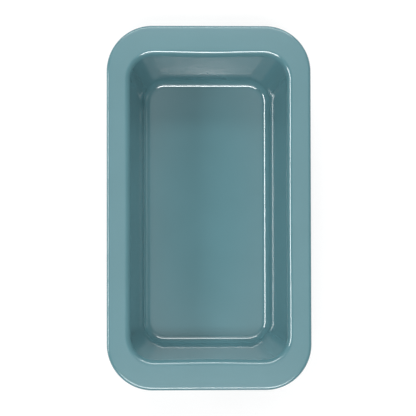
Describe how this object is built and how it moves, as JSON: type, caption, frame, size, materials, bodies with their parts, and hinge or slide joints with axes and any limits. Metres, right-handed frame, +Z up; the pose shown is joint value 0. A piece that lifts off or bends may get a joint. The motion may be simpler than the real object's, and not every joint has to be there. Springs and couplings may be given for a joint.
{
  "type": "loaf pan",
  "caption": "Rectangular metal loaf pan with sloping walls, rounded corners, a wide flat flange, a rolled wired rim and a glossy blue-green non-stick film on both faces.",
  "frame": {"origin": "centre of the underside, where the pan rests", "axes": "+X across the width, +Y along the length, +Z up out of the opening"},
  "size_m": [0.1454, 0.2592, 0.06],
  "materials": {
    "sheet_steel": "bare cut edge of the sheet, the rest is under film",
    "wire_steel": "drawn wire, hidden in the curl",
    "inner_film": "glossy blue-green ceramic non-stick film",
    "outer_film": "glossy blue-green ceramic non-stick film"
  },
  "bodies": {
    "root": {"pan_shell": "sheet_steel", "rim_wire": "wire_steel", "inner_coating": "inner_film", "outer_coating": "outer_film"}
  },
  "joints": []
}
